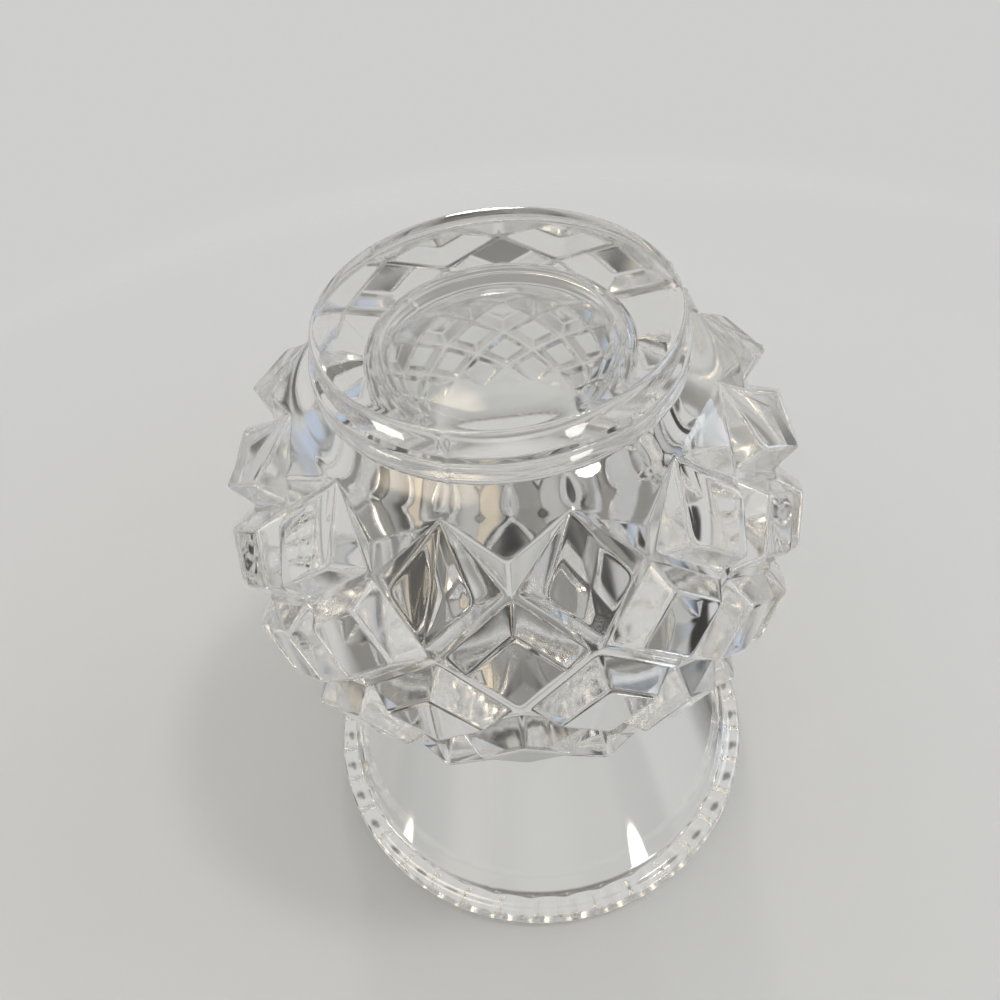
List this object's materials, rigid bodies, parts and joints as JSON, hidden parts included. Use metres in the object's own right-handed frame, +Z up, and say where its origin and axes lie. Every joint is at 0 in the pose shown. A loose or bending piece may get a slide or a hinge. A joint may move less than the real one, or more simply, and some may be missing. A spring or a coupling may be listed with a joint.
{
  "type": "toothpick holder",
  "caption": "Clear pressed-glass toothpick holder with a dished foot, a bulbous bowl of raised diamonds, and a flared mouth with a notched lip.",
  "frame": {"origin": "centre of the plane that the foot stands on", "axes": "+Z up along the axis of the bowl, out of the mouth; -Y faces the viewer, through a crossing of the grooves"},
  "size_m": [0.0512, 0.0512, 0.065],
  "materials": {
    "glass": "fire-polished clear glass"
  },
  "bodies": {
    "root": {"foot": "glass", "collar": "glass", "shoulder": "glass", "bowl": "glass", "diamond_row_1": "glass", "diamond_row_2": "glass", "diamond_row_3": "glass", "diamond_row_4": "glass", "diamond_row_5": "glass", "neck": "glass", "flare": "glass", "lip": "glass"}
  },
  "joints": []
}
